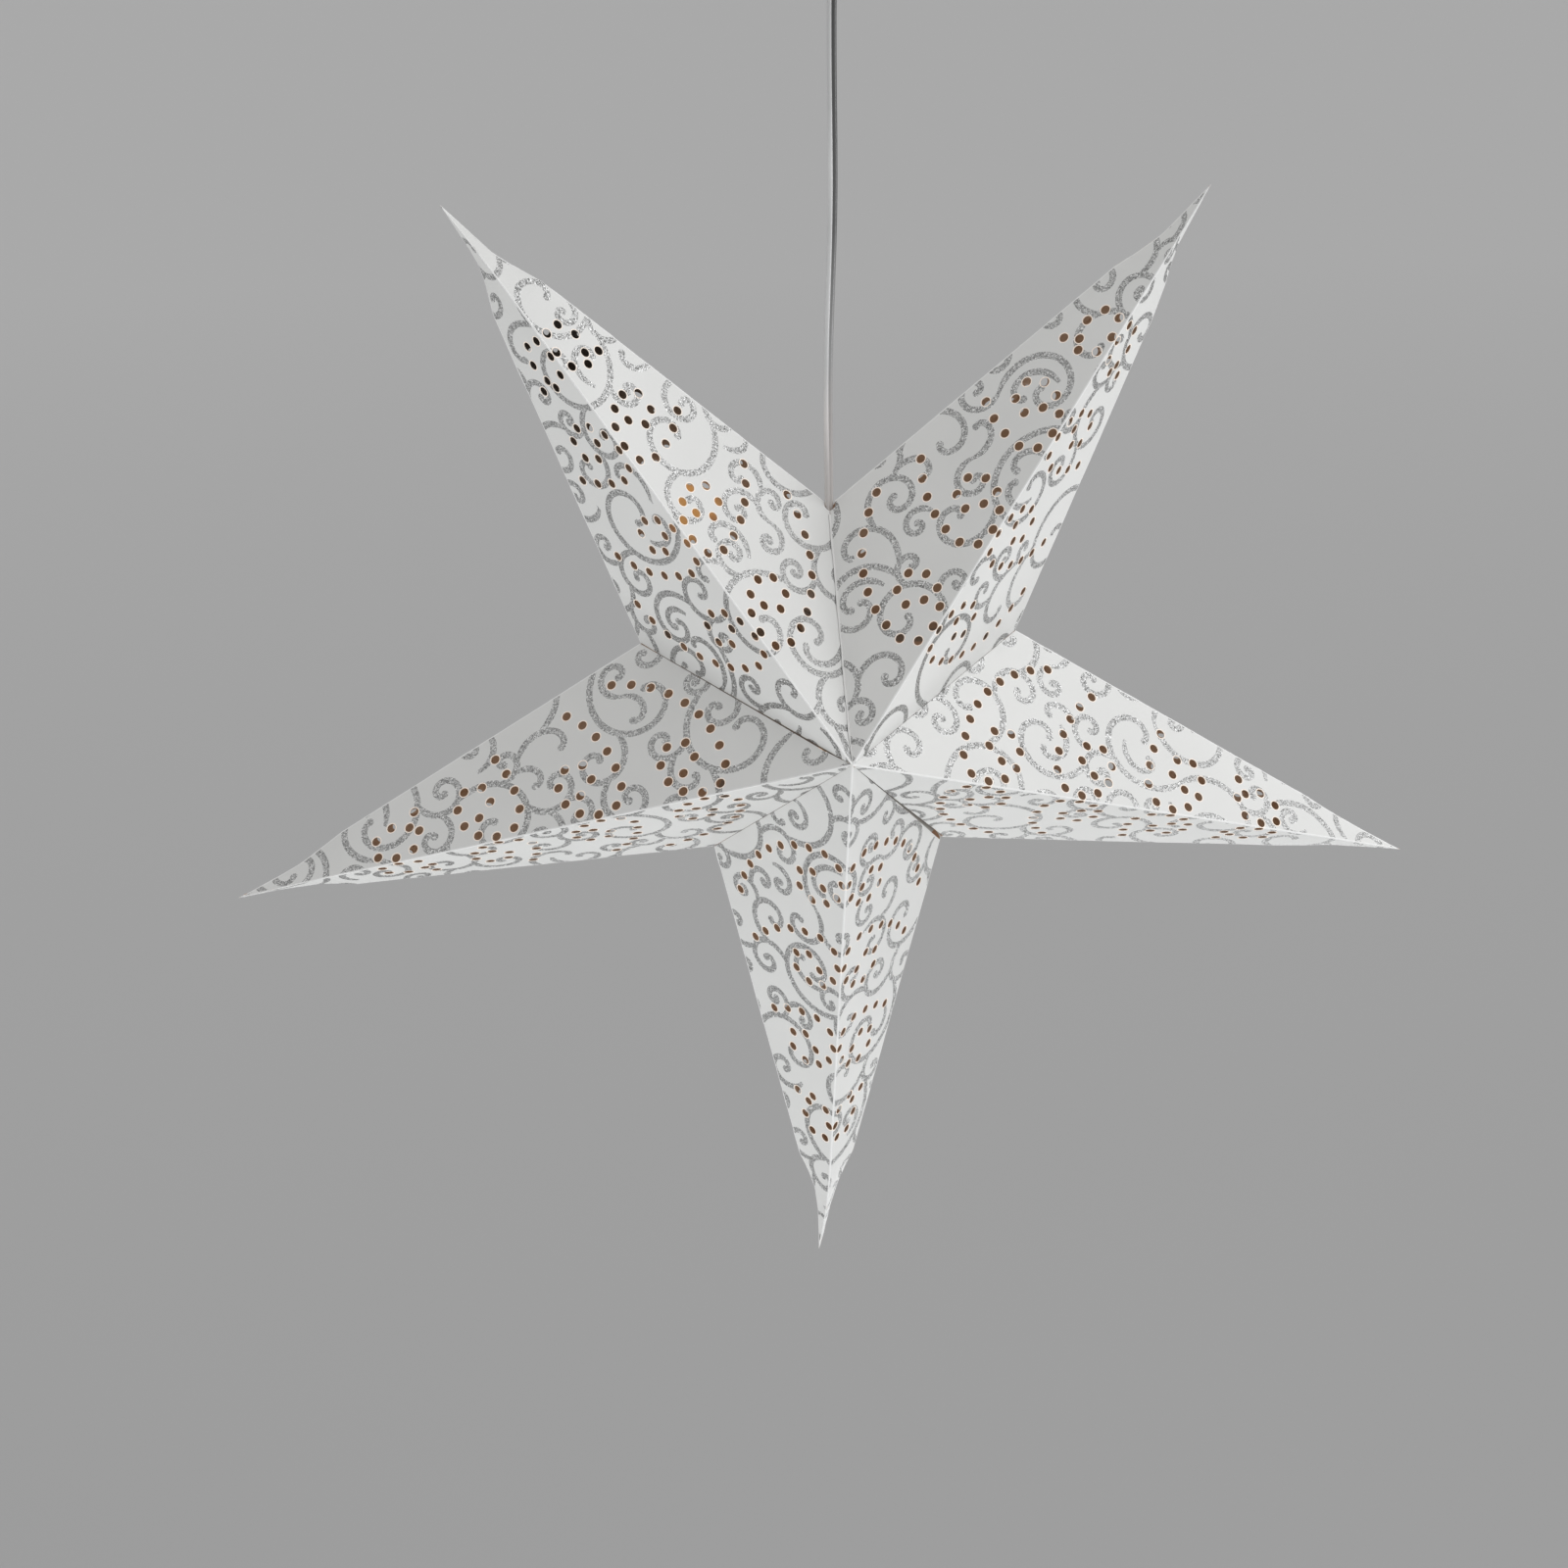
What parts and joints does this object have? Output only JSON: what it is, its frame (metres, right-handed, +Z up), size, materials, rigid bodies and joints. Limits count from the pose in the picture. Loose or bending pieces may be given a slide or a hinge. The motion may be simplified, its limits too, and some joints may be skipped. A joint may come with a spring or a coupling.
{
  "type": "hanging paper star lantern",
  "caption": "Hanging folded-paper star lantern with raised arms, printed scrolls and punched spirals, on a lamp cord from a ceiling cup.",
  "frame": {"origin": "middle of the ceiling bracket's top face, where it meets the ceiling", "axes": "+Z up, the star's front faces -Y, +X to the right seen from the front"},
  "size_m": [0.6174, 0.2046, 0.7744],
  "materials": {
    "card": "matte printed card",
    "card_flap": "matte plain card",
    "screw_steel": "zinc plated",
    "bracket_steel": "galvanised",
    "ceiling_plastic": "satin",
    "sleeve_plastic": "soft",
    "cord_plastic": "smooth",
    "terminal_plastic": "matte",
    "ceramic": "glazed",
    "brass": "bright",
    "wire_steel": "bright wire",
    "holder_plastic": "matte",
    "bulb_cap_metal": "bright",
    "bulb_housing": "satin",
    "bulb_globe": "frosted"
  },
  "bodies": {
    "ceiling_fitting": {"ceiling_cup": "ceiling_plastic", "mounting_bracket": "bracket_steel", "bracket_screw_a": "screw_steel", "bracket_screw_b": "screw_steel", "cord_grip": "ceiling_plastic", "grip_nut": "ceiling_plastic", "terminal_block": "terminal_plastic", "cord_tail": "cord_plastic"},
    "cord_sleeve": {"cord_sleeve": "sleeve_plastic"},
    "cord": {"cord": "cord_plastic"},
    "lampholder": {"strain_relief": "sleeve_plastic", "holder_cap": "holder_plastic", "holder_shell": "holder_plastic", "contact_carrier": "ceramic", "centre_contact": "brass", "threaded_sleeve": "brass", "hanger_collar": "wire_steel", "hanger_arm_front": "wire_steel", "hanger_arm_back": "wire_steel"},
    "bulb": {"bulb_cap": "bulb_cap_metal", "bulb_tip": "brass", "bulb_housing": "bulb_housing", "bulb_globe": "bulb_globe"},
    "arm_bottom": {"panel_bottom_front_left": "card", "panel_bottom_front_right": "card", "panel_bottom_back_left": "card", "panel_bottom_back_right": "card", "flap_lower_right_front": "card_flap", "flap_lower_right_back": "card_flap"},
    "arm_right": {"panel_right_front_left": "card", "panel_right_front_right": "card", "panel_right_back_left": "card", "panel_right_back_right": "card", "flap_upper_right_front": "card_flap", "flap_upper_right_back": "card_flap"},
    "arm_top_right": {"panel_top_right_front_left": "card", "panel_top_right_front_right": "card", "panel_top_right_back_left": "card", "panel_top_right_back_right": "card", "closing_strip_front_right": "card_flap", "closing_strip_back_right": "card_flap"},
    "arm_top_left": {"panel_top_left_front_left": "card", "panel_top_left_front_right": "card", "panel_top_left_back_left": "card", "panel_top_left_back_right": "card", "flap_upper_left_front": "card_flap", "flap_upper_left_back": "card_flap", "closing_strip_front_left": "card_flap", "closing_strip_back_left": "card_flap"},
    "arm_left": {"panel_left_front_left": "card", "panel_left_front_right": "card", "panel_left_back_left": "card", "panel_left_back_right": "card", "flap_lower_left_front": "card_flap", "flap_lower_left_back": "card_flap"}
  },
  "joints": [
    {"name": "cord_swing", "type": "hinge", "parent": "ceiling_fitting", "child": "cord_sleeve", "pos_m": [0, 0, -0.045], "axis": [1, 0, 0], "range_deg": [-25, 25]},
    {"name": "cord_sway", "type": "hinge", "parent": "cord_sleeve", "child": "cord", "pos_m": [0, 0, -0.056], "axis": [0, 1, 0], "range_deg": [-15, 15]},
    {"name": "star_turn", "type": "hinge", "parent": "cord", "child": "lampholder", "pos_m": [0, 0, -0.35], "axis": [0, 0, 1], "range_deg": [-180, 180]},
    {"name": "bulb_turn", "type": "hinge", "parent": "lampholder", "child": "bulb", "pos_m": [0, 0, -0.43], "axis": [0, 0, 1], "continuous": true},
    {"name": "star_drop", "type": "slide", "parent": "lampholder", "child": "arm_bottom", "axis": [0, 0, -1], "range_m": [0, 0.2], "deforming": ["panel_bottom_front_left", "panel_bottom_front_right", "panel_bottom_back_left", "panel_bottom_back_right", "flap_lower_right_front", "flap_lower_right_back"]},
    {"name": "fold_right", "type": "hinge", "parent": "arm_bottom", "child": "arm_right", "pos_m": [0, 0, -0.43], "axis": [0, 1, 0], "range_deg": [0, 67], "deforming": ["panel_right_front_left", "panel_right_front_right", "panel_right_back_left", "panel_right_back_right", "flap_upper_right_front", "flap_upper_right_back"]},
    {"name": "fold_top_right", "type": "hinge", "parent": "arm_right", "child": "arm_top_right", "pos_m": [0, 0, -0.43], "axis": [0, 1, 0], "range_deg": [0, 67], "deforming": ["panel_top_right_front_left", "panel_top_right_front_right", "panel_top_right_back_left", "panel_top_right_back_right", "closing_strip_front_right", "closing_strip_back_right"]},
    {"name": "fold_left", "type": "hinge", "parent": "arm_bottom", "child": "arm_left", "pos_m": [0, 0, -0.43], "axis": [0, -1, 0], "range_deg": [0, 67], "deforming": ["panel_left_front_left", "panel_left_front_right", "panel_left_back_left", "panel_left_back_right", "flap_lower_left_front", "flap_lower_left_back"]},
    {"name": "fold_top_left", "type": "hinge", "parent": "arm_left", "child": "arm_top_left", "pos_m": [0, 0, -0.43], "axis": [0, -1, 0], "range_deg": [0, 67], "deforming": ["panel_top_left_front_left", "panel_top_left_front_right", "panel_top_left_back_left", "panel_top_left_back_right", "flap_upper_left_front", "flap_upper_left_back", "closing_strip_front_left", "closing_strip_back_left"]}
  ],
  "couplings": [
    {"joint": "fold_top_right", "follows": "fold_right", "ratio": 1},
    {"joint": "fold_left", "follows": "fold_right", "ratio": 1},
    {"joint": "fold_top_left", "follows": "fold_right", "ratio": 1},
    {"joint": "star_drop", "follows": "fold_right", "m_per_rad": 0.17}
  ]
}
